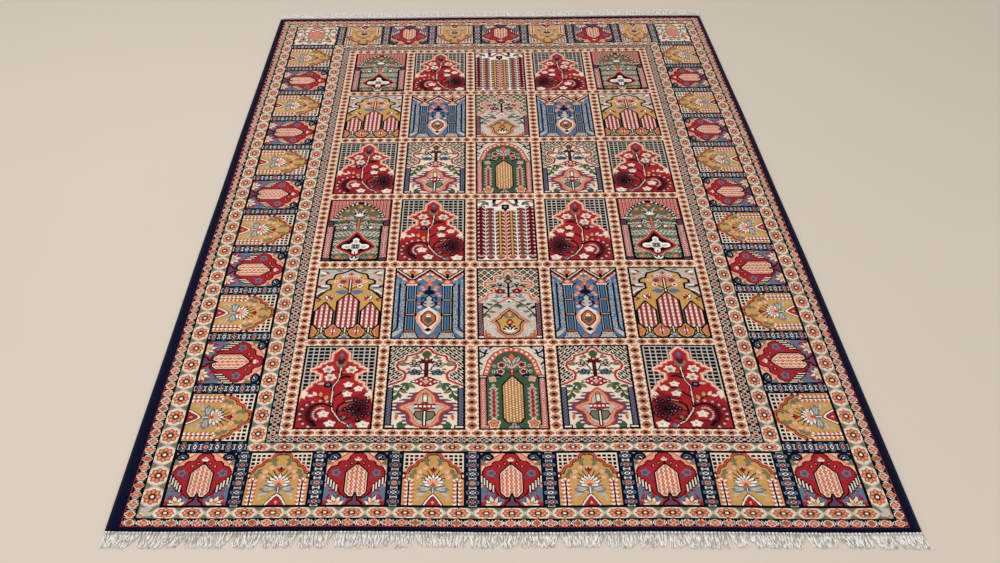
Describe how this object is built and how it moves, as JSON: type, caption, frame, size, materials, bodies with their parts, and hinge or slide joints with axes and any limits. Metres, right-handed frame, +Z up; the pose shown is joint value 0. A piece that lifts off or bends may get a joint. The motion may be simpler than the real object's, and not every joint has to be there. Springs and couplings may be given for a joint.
{
  "type": "persian rug",
  "caption": "Flat knotted wool rug with a traditional garden-panel field, panelled border, rosette stripes, overcast side bindings and a cotton warp fringe at each end.",
  "frame": {"origin": "on the floor, under the middle of the whole rug with its fringes", "axes": "+Y along the rug from the near end to the far end, +X across it to the right, +Z up from the floor through the pile"},
  "size_m": [2.0372, 3.113, 0.011],
  "materials": {
    "wool_pile": "short knotted wool pile, matt with a soft sheen, many dyed yarns",
    "binding_yarn": "navy wool yarn overcast round the side cords, matt",
    "cotton_warp": "off-white twisted cotton, matt"
  },
  "bodies": {
    "root": {"rug_body": "wool_pile", "side_binding_left": "binding_yarn", "side_binding_right": "binding_yarn", "fringe_near": "cotton_warp", "fringe_far": "cotton_warp"}
  },
  "joints": []
}
